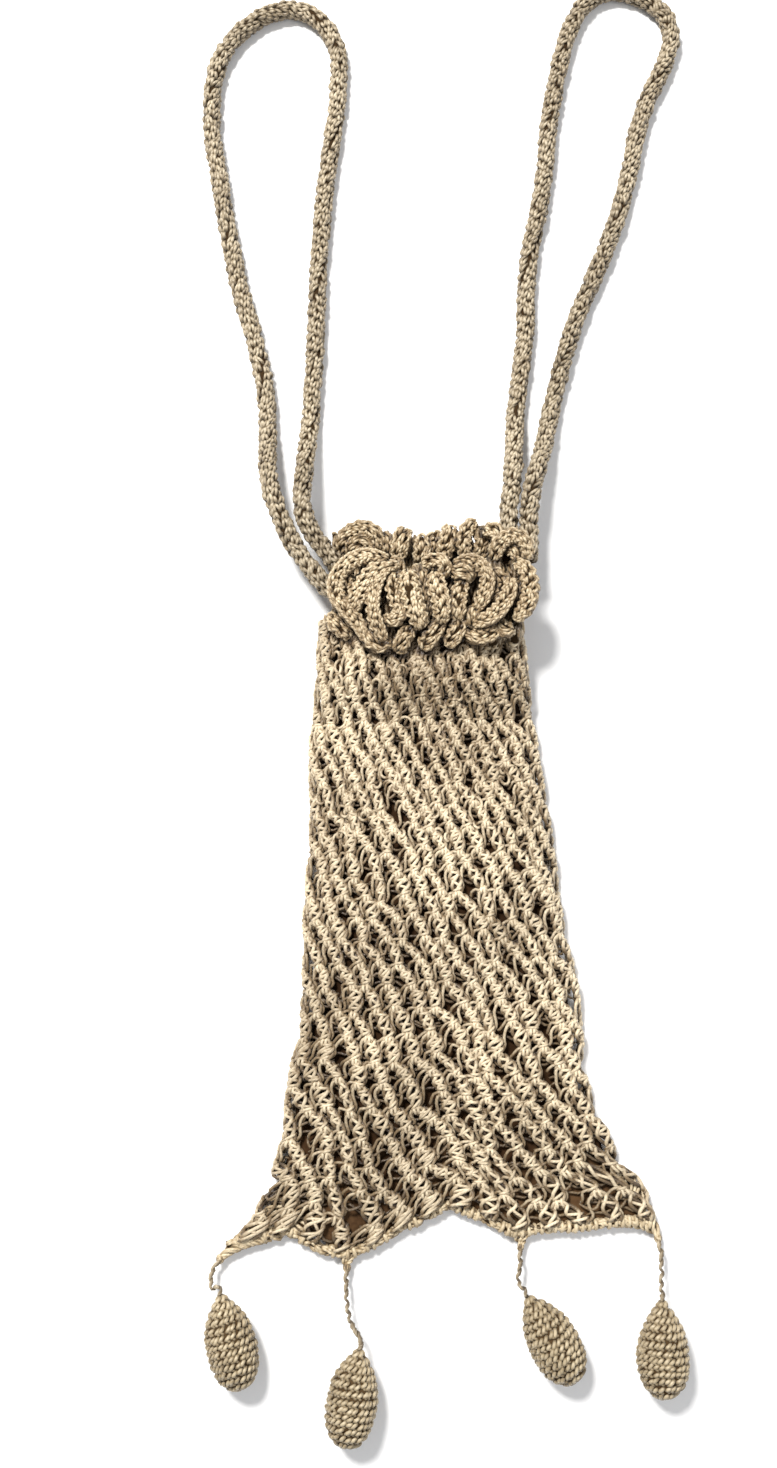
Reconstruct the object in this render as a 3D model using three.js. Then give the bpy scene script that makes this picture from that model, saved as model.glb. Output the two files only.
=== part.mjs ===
// Crocheted drawstring bag, lying flat on its back panel, drawn shut.
// Frame: millimetres, +Z up from the surface it lies on, +Y towards the neck and the drawstring loops, +X to the right.
// The origin is under the middle of the bag (without the drawstring loops), on the surface.
import * as THREE from "three";

// ---- driving dimensions (mm) ----
const SHIFT_X = -2.472; // puts the middle of the bag and tassels at x = 0
const SHIFT_Y = 16.126; // puts the middle of the bag and tassels at y = 0
const NET_T = 2.2; // thickness of one layer of net
const GAP = 0.3; // clearance between neighbouring pieces
const NECK_Y = 75.5; // where the net ends, inside the collar
const SPLIT_Y = 36.0; // where the front of the neck starts to lift
const SPLIT_GAP = 1.3;
const PUFF = 7.0; // free height inside the pouch at its middle
const NECK_PUFF = 6.3; // free height inside the neck
const NECK_RISE = 5.4; // how far the back of the neck stands over the surface
const HEM_R = 1.6; // radius of the crocheted edging along the bottom
const CORD_D = 5.2; // drawstring, a crocheted tube
const CASING_D = 5.0; // drawstring where it is squeezed in the casing
const DROP_R = 6.5; // largest radius of a tassel drop
const DROP_L = 24.0; // length of a tassel drop
const DROP_WALL = 1.2; // crocheted cover over the filling
const STEM_D = 1.2; // chain that carries a drop
const KNOT_R = 1.6; // knot that ties a chain to the edging

// Left and right edges of the pouch, from the bottom corners to the neck: [x, y].
const LEFT = [[-54.0, -89.0], [-46.5, -82.5], [-43.9, -77.5], [-41.6, -72.5], [-40.2, -67.5], [-38.5, -62.0], [-37.6, -52.0], [-36.0, -42.0], [-33.9, -36.5], [-33.3, -26.0], [-33.0, -16.0], [-33.0, -5.0], [-32.2, 5.6], [-31.2, 16.0], [-31.1, 27.0], [-31.4, 38.0], [-31.1, 44.0], [-30.0, 50.0], [-29.2, 61.0], [-28.5, 72.0], [-28.3, 75.5]];
const RIGHT = [[57.0, -84.5], [55.2, -78.5], [52.0, -73.4], [46.8, -68.0], [45.2, -63.0], [43.0, -58.0], [41.0, -53.0], [39.4, -48.0], [38.7, -43.0], [38.4, -32.0], [37.6, -22.0], [36.4, -16.5], [34.7, -11.0], [34.0, -3.0], [33.2, 5.0], [32.2, 15.8], [30.6, 26.7], [29.3, 38.0], [27.6, 49.0], [26.4, 58.0], [25.8, 66.0], [24.6, 75.5]];
// Bottom edge, left to right: [x, y].
const HEM = [[-54.0, -90.0], [-46.5, -88.3], [-40.2, -87.0], [-37.1, -87.0], [-34.0, -88.9], [-30.9, -90.7], [-27.8, -91.8], [-24.7, -92.3], [-21.6, -92.2], [-18.5, -91.0], [-15.4, -89.8], [-12.2, -88.1], [-9.1, -86.3], [-6.0, -85.1], [-2.9, -83.7], [0.3, -82.0], [3.4, -80.9], [6.5, -81.6], [9.6, -82.8], [12.7, -84.1], [15.8, -85.6], [18.9, -87.0], [22.0, -87.6], [25.1, -87.0], [31.4, -86.5], [37.6, -86.4], [43.9, -85.6], [50.1, -85.2], [56.6, -85.6]];
// Drawstring loops: [x, y] in plan, each from one end inside the collar round to the other.
const LOOP_LEFT = [[-21.0, 87.5], [-24.6, 91.5], [-28.5, 96.7], [-31.8, 101.3], [-33.7, 106.9], [-34.0, 112.8], [-33.5, 121.8], [-32.4, 133.7], [-31.5, 145.8], [-30.8, 158.0], [-30.3, 170.4], [-29.8, 182.9], [-28.9, 195.5], [-27.8, 208.2], [-25.9, 223.0], [-24.4, 234.2], [-23.7, 244.0], [-23.7, 250.6], [-25.3, 257.3], [-28.8, 262.9], [-33.4, 266.4], [-38.6, 267.4], [-43.7, 266.3], [-48.5, 263.9], [-52.7, 260.4], [-55.9, 256.6], [-59.0, 251.0], [-60.8, 244.4], [-61.4, 237.8], [-61.4, 231.3], [-61.0, 224.7], [-59.4, 215.0], [-57.4, 202.2], [-55.1, 189.5], [-52.6, 176.9], [-49.1, 164.4], [-46.4, 153.0], [-44.8, 142.9], [-44.3, 132.0], [-44.0, 122.5], [-42.8, 113.5], [-40.8, 107.0], [-38.3, 101.0], [-34.9, 94.8], [-30.6, 88.8], [-28.3, 85.9], [-25.4, 83.5]];
const LOOP_RIGHT = [[22.7, 91.5], [22.8, 97.5], [23.0, 104.0], [23.9, 112.2], [25.0, 121.0], [25.7, 130.1], [26.6, 139.2], [28.3, 151.2], [29.9, 163.5], [30.5, 176.0], [32.0, 188.5], [34.8, 201.0], [36.9, 213.8], [38.3, 226.8], [40.3, 238.0], [42.4, 248.0], [44.6, 256.5], [47.2, 263.1], [50.6, 268.3], [55.0, 271.5], [60.2, 272.4], [65.2, 271.3], [69.8, 268.9], [73.4, 265.4], [75.5, 261.3], [76.0, 256.1], [74.3, 249.5], [71.3, 242.9], [68.0, 236.0], [64.9, 226.5], [62.0, 213.5], [58.6, 201.0], [53.9, 188.2], [48.5, 175.6], [43.5, 163.4], [39.8, 151.2], [36.6, 139.0], [34.1, 128.0], [31.6, 119.0], [29.6, 112.0], [28.6, 104.0], [28.4, 97.5], [28.2, 91.5]];
const LOOP_HIGH = 10.7; // height of a loop's ends, inside the collar
// Tassels: knot at the edging, points of the chain, neck of the drop, and the drop's direction in plan.
const TASSELS = [
  { knot: [-55.6, -92.0], chain: [[-57.6, -95.2], [-57.4, -98.6]], neck: [-54.8, -101.0], dir: [0.229, -0.973] },
  { knot: [-22.9, -94.4], chain: [[-23.1, -100.0], [-22.2, -106.5]], neck: [-19.7, -113.4], dir: [-0.157, -0.988] },
  { knot: [22.0, -89.8], chain: [[21.6, -94.0], [21.0, -98.0]], neck: [23.2, -101.2], dir: [0.485, -0.874] },
  { knot: [57.6, -87.8], chain: [[58.0, -92.0], [57.6, -97.0]], neck: [57.3, -102.4], dir: [-0.025, -1.0] },
];
// Outline of a drop: [distance from its neck, radius].
const DROP_PROFILE = [[0.0, 0.9], [1.6, 2.0], [3.6, 3.5], [6.0, 4.85], [8.8, 5.95], [12.0, 6.45], [14.6, 6.5], [17.4, 6.1], [20.0, 5.1], [22.2, 3.5], [23.5, 1.8], [24.0, 0.0]];

// ---- materials ----
const cotton = (colour, roughness = 0.85) => new THREE.MeshStandardMaterial({ color: colour, roughness, metalness: 0 });
const NET = cotton(0xcdb98f);
const EDGE = cotton(0xd3c19a);
const RUFFLE = cotton(0xc4ae84);
const CORD = cotton(0xbdac8a);
const DROP = cotton(0xc0ad86);
const FILL = cotton(0xe8e0cf, 0.95);

// ---- helpers ----
const clamp = (x, a = 0, b = 1) => Math.min(b, Math.max(a, x));
const lerp = (a, b, t) => a + (b - a) * t;
const smooth = (a, b, x) => { const t = clamp((x - a) / (b - a)); return t * t * (3 - 2 * t); };
function at(table, key, value, want) { // straight-line interpolation in a table of points
  const n = table.length;
  for (let i = 1; i < n; i++) {
    const a = table[i - 1], b = table[i];
    if (want <= b[key] || i === n - 1) return lerp(a[value], b[value], clamp((want - a[key]) / (b[key] - a[key])));
  }
}
const group = new THREE.Group();
group.position.set(SHIFT_X, SHIFT_Y, 0);
function add(name, geometry, material) {
  geometry.computeVertexNormals();
  const mesh = new THREE.Mesh(geometry, material);
  mesh.name = name;
  group.add(mesh);
  return mesh;
}
// A closed slab: u runs along +X, v along +Y and w from its underside to its top.
function slab(nu, nv, place) {
  const g = new THREE.BoxGeometry(1, 1, 1, nu, nv, 1), p = g.attributes.position;
  for (let i = 0; i < p.count; i++) {
    const [x, y, z] = place(p.getX(i) + 0.5, p.getY(i) + 0.5, p.getZ(i) + 0.5);
    p.setXYZ(i, x, y, z);
  }
  return g;
}
function tube(points, diameter, sides, steps, tension = 0.5) {
  const section = new THREE.Shape();
  for (let k = 0; k < sides; k++) {
    const a = (2 * Math.PI * (k + 0.5)) / sides, x = (diameter / 2) * Math.cos(a), y = (diameter / 2) * Math.sin(a);
    k ? section.lineTo(x, y) : section.moveTo(x, y);
  }
  section.closePath();
  const path = new THREE.CatmullRomCurve3(points.map((q) => new THREE.Vector3(...q)), false, "centripetal", tension);
  return new THREE.ExtrudeGeometry(section, { steps, bevelEnabled: false, extrudePath: path, curveSegments: 1 });
}

// ---- pouch: net panels ----
// Point of the pouch in plan: u from left to right edge, v from the bottom to the neck.
const INSET = 3.9; // room for the edging at the bottom
function plan(u, v) {
  const yl = lerp(LEFT[0][1] + INSET, NECK_Y, v), yr = lerp(RIGHT[0][1] + INSET, NECK_Y, v);
  const bend = Math.pow(clamp(1 - v / 0.42), 1.5);
  const hem = (t) => at(HEM, 0, 1, lerp(HEM[0][0], HEM[HEM.length - 1][0], t));
  const sag = hem(u) - lerp(hem(0), hem(1), u);
  return [lerp(at(LEFT, 1, 0, yl), at(RIGHT, 1, 0, yr), u), lerp(yl, yr, u) + bend * sag];
}
const backTop = (y) => NET_T + NECK_RISE * smooth(47, 61, y);
const dome = (u) => Math.pow(Math.max(0, 1 - Math.pow(Math.abs(2 * u - 1), 2.6)), 0.5);
function puff(v) { // free height over the pouch's length
  return lerp(lerp(0.2, PUFF, smooth(0, 0.3, v)), NECK_PUFF, smooth(0.7, 0.9, v));
}
const splitV = (SPLIT_Y - (LEFT[0][1] + INSET)) / (NECK_Y - (LEFT[0][1] + INSET));
const gapV = SPLIT_GAP / (NECK_Y - LEFT[0][1]);
const frontPanel = (v0, v1, nu, nv) => slab(nu, nv, (u, b, w) => {
  const v = lerp(v0, v1, b), [x, y] = plan(u, v);
  return [x, y, backTop(y) + GAP + puff(v) * dome(u) + w * NET_T];
});
add("back_net_panel", slab(12, 28, (u, v, w) => {
  const [x, y] = plan(u, v);
  return [x, y, backTop(y) - NET_T + w * NET_T];
}), NET);
add("front_net_panel", frontPanel(0, splitV, 16, 20), NET);
add("front_neck_net", frontPanel(splitV + gapV, 1, 16, 7), NET);

// Crocheted edging that closes the bottom.
add("hem_edging", tube(HEM.map(([x, y]) => [x, y + HEM_R + 0.1, 2.35]), 2 * HEM_R, 8, 44), EDGE);

// ---- collar: gathered ruffles, with folds that run along Y ----
const FOLDS = 8;
const fold = (u) => Math.cos(2 * Math.PI * FOLDS * u);
add("back_ruffle", slab(32, 7, (u, v, w) => {
  const y = lerp(62.5, 103.6 + 1.6 * fold(u + 0.03), v), spread = 1 + 0.05 * smooth(80, 100, y) - 0.03 * smooth(70, 79, y) * (1 - smooth(79, 88, y));
  const x = 1.4 + (lerp(-29.6, 30.6, u) - 1.4) * spread;
  const top = lerp(4.6, 7.1, smooth(84, 96, y)) + 0.45 * fold(u);
  return [x, y, w < 0.5 ? 0.35 + 0.3 * fold(u) : top];
}), RUFFLE);
add("front_ruffle", slab(32, 7, (u, v, w) => {
  const y = lerp(62.8 - 1.2 * fold(u), 90.6 + 1.2 * fold(u) + 9 * smooth(0.62, 0.85, u), v);
  const x = 2.0 + (lerp(-28.0, 31.8, u) - 2.0) * (1 - 0.03 * smooth(66, 77, y) * (1 - smooth(80, 88, y)));
  const side = Math.pow(Math.abs(2 * u - 1), 3);
  const under = 17.1 - 2.5 * side + 0.3 * fold(u), top = 22.6 - 2.6 * side + 1.1 * fold(u);
  return [x, y, w < 0.5 ? under : top];
}), RUFFLE);
add("back_casing_cord", tube([[-13.5, 79.2, 8.1], [0, 79.0, 8.1], [13.5, 79.2, 8.1]], CASING_D, 10, 8), CORD);
add("front_casing_cord", tube([[-13.5, 79.2, 13.45], [0, 79.0, 13.45], [13.5, 79.2, 13.45]], CASING_D, 10, 8), CORD);

// ---- drawstring loops ----
// Height along a loop: it lies on the surface and climbs to its ends in the collar.
const climb = ([x, y]) => [x, y, lerp(LOOP_HIGH, CORD_D / 2 + 0.05, smooth(110, 138, y))];
add("left_drawstring_loop", tube(LOOP_LEFT.map(climb), CORD_D, 8, 70), CORD);
add("right_drawstring_loop", tube(LOOP_RIGHT.map(climb), CORD_D, 8, 68), CORD);

// ---- tassels ----
const DROP_Z = DROP_R + 0.06;
TASSELS.forEach(({ knot, chain, neck, dir }, i) => {
  const n = i + 1, K = new THREE.Vector3(...knot, 2.35), len = Math.hypot(...dir), d = new THREE.Vector3(dir[0] / len, dir[1] / len, 0);
  const N = new THREE.Vector3(...neck, DROP_Z);
  const ball = new THREE.SphereGeometry(KNOT_R, 10, 6);
  const k = add(`anchor_knot_${n}`, ball, EDGE);
  k.position.copy(K);
  const out = new THREE.Vector3(chain[0][0], chain[0][1], 3.4).sub(K).normalize();
  const first = K.clone().addScaledVector(out, KNOT_R + GAP + 0.1);
  const last = N.clone().addScaledVector(d, -0.45);
  const before = N.clone().addScaledVector(d, -2.2);
  const points = [first, ...chain.map(([x, y], j) => new THREE.Vector3(x, y, lerp(3.0, DROP_Z - 0.6, (j + 1) / (chain.length + 1)))), before, last];
  add(`stem_chain_${n}`, tube(points.map((q) => q.toArray()), STEM_D, 8, 10), CORD);
  // The cover is a shell with a small hole at its neck; the filling fits inside it.
  const outer = DROP_PROFILE.map(([t, r]) => new THREE.Vector2(r, t + 0.35));
  const inner = DROP_PROFILE.slice(2, -1).map(([t, r]) => new THREE.Vector2(Math.max(0.6, r - DROP_WALL), t + 0.35 + (t > 20 ? -0.9 : 0)));
  const hole = [new THREE.Vector2(0.45, 0.35)];
  const cover = [...hole, ...outer.slice(0)];
  const back = [new THREE.Vector2(0, DROP_L - DROP_WALL + 0.35), ...inner.reverse(), new THREE.Vector2(0.45, 2.6)];
  const shell = new THREE.LatheGeometry([...cover, ...back, hole[0].clone()], 16);
  const place = (mesh) => {
    mesh.position.copy(N);
    mesh.quaternion.setFromUnitVectors(new THREE.Vector3(0, 1, 0), d);
  };
  place(add(`drop_cover_${n}`, shell, DROP));
  const core = [[0, 4.6]];
  DROP_PROFILE.slice(2, -1).forEach(([t, r]) => { if (t >= 6 && t < 22) core.push([Math.max(0.5, r - DROP_WALL - 0.45), t + 0.35]); });
  core.push([0, 21.2]);
  place(add(`drop_filling_${n}`, new THREE.LatheGeometry(core.map(([r, t]) => new THREE.Vector2(r, t)), 12), FILL));
});

export default group;
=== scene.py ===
# Looks for the crocheted drawstring bag. Lengths in this file are in millimetres until a mesh is made.
import bpy, math
import numpy as np
from mathutils import Matrix


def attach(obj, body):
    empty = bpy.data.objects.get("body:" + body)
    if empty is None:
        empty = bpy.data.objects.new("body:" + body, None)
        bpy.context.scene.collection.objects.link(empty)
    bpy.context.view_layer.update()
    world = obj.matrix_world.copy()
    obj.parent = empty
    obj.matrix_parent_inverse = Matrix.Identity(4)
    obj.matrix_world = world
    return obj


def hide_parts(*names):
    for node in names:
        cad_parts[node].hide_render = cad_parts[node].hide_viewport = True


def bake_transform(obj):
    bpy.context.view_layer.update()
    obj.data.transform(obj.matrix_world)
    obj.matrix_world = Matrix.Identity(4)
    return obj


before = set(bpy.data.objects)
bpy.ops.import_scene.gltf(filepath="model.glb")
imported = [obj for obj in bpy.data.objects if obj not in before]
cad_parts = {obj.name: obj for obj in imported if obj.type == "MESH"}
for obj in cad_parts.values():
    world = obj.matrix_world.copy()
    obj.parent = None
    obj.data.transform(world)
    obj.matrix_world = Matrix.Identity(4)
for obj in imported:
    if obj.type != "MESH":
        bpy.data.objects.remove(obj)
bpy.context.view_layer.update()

SX, SY = -2.472, 16.126          # plan shift of the part's own outline tables
RNG = np.random.default_rng(7)

# ------------------------------------------------------------------ camera
cam_data = bpy.data.cameras.new("photo_camera")
cam_data.sensor_width = 36.0
cam_data.lens = 1500.0 / 1468.0 * 36.0
cam_data.clip_start, cam_data.clip_end = 0.01, 10.0
cam = bpy.data.objects.new("photo_camera", cam_data)
bpy.context.scene.collection.objects.link(cam)
R2, U2, BK = (0.99994876, -0.00995674, -0.00182797), (0.01012315, 0.98351119, 0.18056376), (0.0, -0.18057301, 0.98356158)
cam.matrix_world = Matrix(((R2[0], U2[0], BK[0], -0.013255699), (R2[1], U2[1], BK[1], -0.012902345), (R2[2], U2[2], BK[2], 0.407703163), (0, 0, 0, 1)))
bpy.context.scene.camera = cam
bpy.context.scene.view_settings.view_transform = "Standard"
bpy.context.scene.view_settings.look = "None"

# ------------------------------------------------------------------ mesh tools
def to_row(P):
    P = np.asarray(P, float)
    return (P + np.array([SX, SY, 0.0])) / 1000.0

def unit(a):
    return a / np.maximum(np.linalg.norm(a, axis=-1, keepdims=True), 1e-9)

def frames(P, ref=None):
    """Turning-free frames along strands P (M, N, 3)."""
    T = unit(np.gradient(P, axis=1))
    M, N, _ = P.shape
    U = np.zeros_like(P)
    r = np.tile(np.array([0.31, 0.22, 0.92]), (M, 1)) if ref is None else ref
    u = unit(r - (r * T[:, 0]).sum(-1, keepdims=True) * T[:, 0])
    U[:, 0] = u
    for i in range(1, N):
        u = u - (u * T[:, i]).sum(-1, keepdims=True) * T[:, i]
        u = unit(u)
        U[:, i] = u
    return T, U, np.cross(T, U)

class Threads:
    """Collects strands and makes one closed-ended mesh of them."""
    def __init__(self):
        self.V, self.Q, self.C, self.uv, self.cuv, self.tone, self.dep, self.n, self.cell = [], [], [], [], [], [], [], 0, []
    def add(self, P, radius, sides=6, depth=None, tone=None, taper=0.6):
        """P (M, N, 3) centre lines in mm; depth (M, N) 0 sunk .. 1 proud: the materials paint it as shade where sunk
        and as highlight where proud.
        """
        P = np.array(P, float)
        if P.ndim == 2: P = P[None]
        P[..., 2] = np.maximum(P[..., 2], np.max(radius) + 0.03)   # threads flatten where they lie on the surface
        M, N, _ = P.shape
        T, U, B = frames(P)
        a = np.arange(sides) * 2 * np.pi / sides
        R = np.broadcast_to(np.asarray(radius, float), (M, N)) if np.ndim(radius) < 2 else radius
        R = np.array(R); R[:, 0] *= taper; R[:, -1] *= taper
        V = P[:, :, None] + R[..., None, None] * (np.cos(a)[None, None, :, None] * U[:, :, None] + np.sin(a)[None, None, :, None] * B[:, :, None])
        base = self.n + np.arange(M)[:, None, None] * (N * sides)
        i, k = np.arange(N - 1)[None, :, None], np.arange(sides)[None, None, :]
        q = np.stack([base + i * sides + k, base + i * sides + (k + 1) % sides, base + (i + 1) * sides + (k + 1) % sides, base + (i + 1) * sides + k], -1)
        self.V.append(V.reshape(-1, 3)); self.Q.append(q.reshape(-1, 4))
        c0 = (base[:, 0] + np.arange(sides)[None, ::-1]); c1 = (base[:, 0] + (N - 1) * sides + np.arange(sides)[None])
        self.C.append((sides, np.concatenate([c0, c1])))
        L = np.concatenate([np.zeros((M, 1)), np.cumsum(np.linalg.norm(np.diff(P, axis=1), axis=-1), 1)], 1)
        off = RNG.random((M, 1)) * 7
        u0, u1 = (L + off)[:, :-1, None], (L + off)[:, 1:, None]
        v0, v1 = (k / sides), ((k + 1) / sides)
        z = np.zeros((M, N - 1, sides))
        uv = np.stack([np.stack([u0 + z, v0 + z], -1), np.stack([u0 + z, v1 + z], -1), np.stack([u1 + z, v1 + z], -1), np.stack([u1 + z, v0 + z], -1)], 3)
        self.uv.append(uv.reshape(-1, 2))
        # a place of its own for each strand in the bake layout
        f0, f1 = (L / L[:, -1:])[:, :-1, None], (L / L[:, -1:])[:, 1:, None]
        b = np.stack([np.stack([f0 + z, v0 + z], -1), np.stack([f0 + z, v1 + z], -1), np.stack([f1 + z, v1 + z], -1), np.stack([f1 + z, v0 + z], -1)], 3)
        self.cell.append(b.reshape(M, -1, 2))
        self.cuv.append(M)
        tone = RNG.random(M) if tone is None else np.broadcast_to(tone, (M,))
        depth = np.full((M, N), 0.7) if depth is None else np.broadcast_to(depth, (M, N))
        self.tone.append(np.repeat(tone, N * sides)); self.dep.append(np.repeat(depth.reshape(-1), sides))
        self.n += M * N * sides
    def mesh(self, name, material):
        V = to_row(np.concatenate(self.V)); Q = np.concatenate(self.Q)
        caps = self.C
        nq = len(Q); loops = [Q.reshape(-1)]; starts = [np.arange(nq) * 4]; at = nq * 4
        capuv = 0
        for sides, c in caps:
            loops.append(c.reshape(-1)); starts.append(at + np.arange(len(c)) * sides); at += c.size; capuv += c.size
        me = bpy.data.meshes.new(name)
        loops = np.concatenate(loops).astype(np.int32); starts = np.concatenate(starts).astype(np.int32)
        me.vertices.add(len(V)); me.vertices.foreach_set("co", V.astype(np.float32).ravel())
        me.loops.add(len(loops)); me.loops.foreach_set("vertex_index", loops)
        me.polygons.add(len(starts)); me.polygons.foreach_set("loop_start", starts)
        me.update(calc_edges=True)
        me.polygons.foreach_set("use_smooth", np.ones(len(starts), bool))
        uv = np.concatenate(self.uv + [np.zeros((capuv, 2))])
        me.uv_layers.new(name="Thread").data.foreach_set("uv", uv.astype(np.float32).ravel())
        total = sum(self.cuv); g = int(math.ceil(math.sqrt(total))); idx = 0; parts = []
        for M, b in zip(self.cuv, self.cell):
            k = idx + np.arange(M); org = np.stack([k % g, k // g], -1)[:, None, :]
            parts.append(((org + 0.06 + 0.88 * b) / g).reshape(-1, 2)); idx += M
        me.uv_layers.new(name="OFBake").data.foreach_set("uv", np.concatenate(parts + [np.full((capuv, 2), 0.001)]).astype(np.float32).ravel())
        for nm, d in (("tone", self.tone), ("depth", self.dep)):
            me.attributes.new(nm, "FLOAT", "POINT").data.foreach_set("value", np.concatenate(d).astype(np.float32))
        me.materials.append(material)
        me.validate(); me.update()
        ob = bpy.data.objects.new(name, me)
        bpy.context.scene.collection.objects.link(ob)
        return ob

def plain_mesh(name, V, F, material, depth=0.15, uv=None):
    """A closed backing body under stitches. V in mm, F a list of quads or tris."""
    V = np.array(V, float); V[:, 2] = np.maximum(V[:, 2], 0.05)
    me = bpy.data.meshes.new(name)
    me.from_pydata([tuple(p) for p in to_row(V)], [], [tuple(int(i) for i in f) for f in F])
    me.validate(); me.update()
    me.polygons.foreach_set("use_smooth", np.ones(len(me.polygons), bool))
    me.attributes.new("tone", "FLOAT", "POINT").data.foreach_set("value", np.full(len(V), 0.4, np.float32))
    me.attributes.new("depth", "FLOAT", "POINT").data.foreach_set("value", np.full(len(V), depth, np.float32) if np.ndim(depth) == 0 else np.asarray(depth, np.float32))
    me.materials.append(material)
    ob = bpy.data.objects.new(name, me)
    bpy.context.scene.collection.objects.link(ob)
    return ob

def tube_mesh(name, P, R, sides, material, depth=0.15):
    P = np.asarray(P, float); N = len(P)
    T, U, B = frames(P[None]); U, B = U[0], B[0]
    a = np.arange(sides) * 2 * np.pi / sides
    R = np.broadcast_to(R, (N,))
    V = (P[:, None] + R[:, None, None] * (np.cos(a)[None, :, None] * U[:, None] + np.sin(a)[None, :, None] * B[:, None])).reshape(-1, 3)
    F = [(i * sides + k, i * sides + (k + 1) % sides, (i + 1) * sides + (k + 1) % sides, (i + 1) * sides + k) for i in range(N - 1) for k in range(sides)]
    F += [tuple(range(sides))[::-1], tuple((N - 1) * sides + k for k in range(sides))]
    return plain_mesh(name, V, F, material, depth)

def catmull(P, n):
    """Smooth curve through points (..., K, 3) or (..., K, D), sampled at n places."""
    P = np.asarray(P, float); K = P.shape[-2]
    t = np.linspace(0, K - 1, n); i = np.minimum(t.astype(int), K - 2); f = (t - i)[:, None]
    g = lambda j: P[..., np.clip(j, 0, K - 1), :]
    p0, p1, p2, p3 = g(i - 1), g(i), g(i + 1), g(i + 2)
    return 0.5 * (2 * p1 + (p2 - p0) * f + (2 * p0 - 5 * p1 + 4 * p2 - p3) * f ** 2 + (3 * p1 - p0 - 3 * p2 + p3) * f ** 3)

def resample(P, step=None, n=None):
    P = np.asarray(P, float)
    Q = catmull(P, 40 * len(P))
    L = np.concatenate([[0], np.cumsum(np.linalg.norm(np.diff(Q, axis=0), axis=1))])
    n = n or int(round(L[-1] / step)) + 1
    s = np.linspace(0, L[-1], n)
    return np.stack([np.interp(s, L, Q[:, k]) for k in range(Q.shape[1])], -1), L[-1]

class Surf:
    """A surface table P[nv][ns]; where(s, v, h) gives points h mm out along the normal."""
    def __init__(self, P, periodic, flip=1.0):
        self.P, self.per = P, periodic
        ds = np.gradient(P, axis=1)
        if periodic:  # first and last columns are the same place
            ds[:, 0] = ds[:, -1] = (P[:, 1] - P[:, -2]) / 2
        dv = np.gradient(P, axis=0)
        self.N = unit(np.cross(ds, dv)) * flip
    def where(self, s, v, h=0.0):
        nv, ns = self.P.shape[:2]
        s = np.mod(s, 1.0) if self.per else np.clip(s, 0, 1)
        x, y = s * (ns - 1), np.clip(v, 0, 1) * (nv - 1)
        i, j = np.minimum(x.astype(int), ns - 2), np.minimum(y.astype(int), nv - 2)
        f, g = (x - i)[..., None], (y - j)[..., None]
        def bl(A): return (A[j, i] * (1 - f) + A[j, i + 1] * f) * (1 - g) + (A[j + 1, i] * (1 - f) + A[j + 1, i + 1] * f) * g
        n = unit(bl(self.N))
        return bl(self.P) + n * np.asarray(h)[..., None] if np.ndim(h) else bl(self.P) + n * h

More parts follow.
